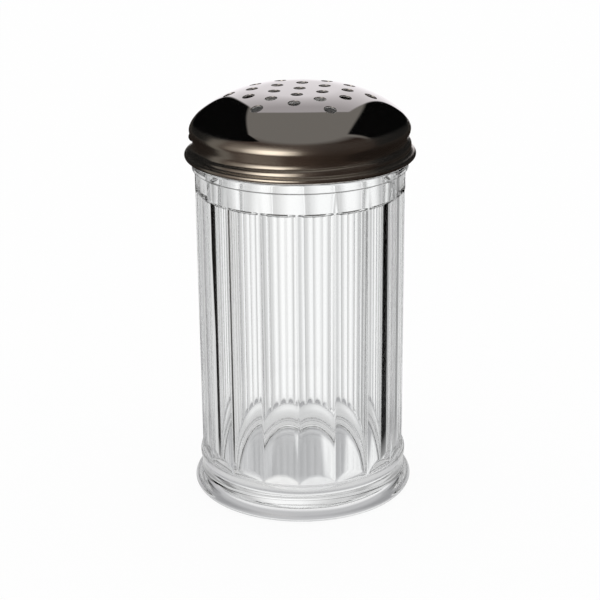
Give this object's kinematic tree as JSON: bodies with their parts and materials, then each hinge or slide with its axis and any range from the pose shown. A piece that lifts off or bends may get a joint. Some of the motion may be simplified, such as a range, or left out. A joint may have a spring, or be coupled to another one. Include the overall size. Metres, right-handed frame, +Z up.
{
  "type": "sugar dispenser",
  "caption": "Clear fluted jar with a footed base and a domed metal screw lid, perforated to shake out sugar.",
  "frame": {"origin": "centre of the jar's foot, on the surface that it stands on", "axes": "+Z up along the axis of the jar and the lid; -Y faces the viewer of the picture, +X to their right"},
  "size_m": [0.0794, 0.0794, 0.1444],
  "materials": {
    "clear_glass": "clear pressed glass, polished, slightly uneven inside",
    "seal": "soft white plastic",
    "polished_steel": "stainless sheet, mirror-polished dome and satin skirt"
  },
  "bodies": {
    "jar": {"jar": "clear_glass"},
    "liner": {"seal_ring": "seal"},
    "lid": {"lid": "polished_steel"}
  },
  "joints": [
    {"name": "lid_rise", "type": "slide", "parent": "jar", "child": "liner", "axis": [0, 0, 1], "range_m": [0, 0.0153]},
    {"name": "lid_turn", "type": "hinge", "parent": "liner", "child": "lid", "pos_m": [0, 0, 0], "axis": [0, 0, 1], "range_deg": [0, 1080]}
  ],
  "couplings": [
    {"joint": "lid_rise", "follows": "lid_turn", "m_per_rad": 0.00081169}
  ]
}
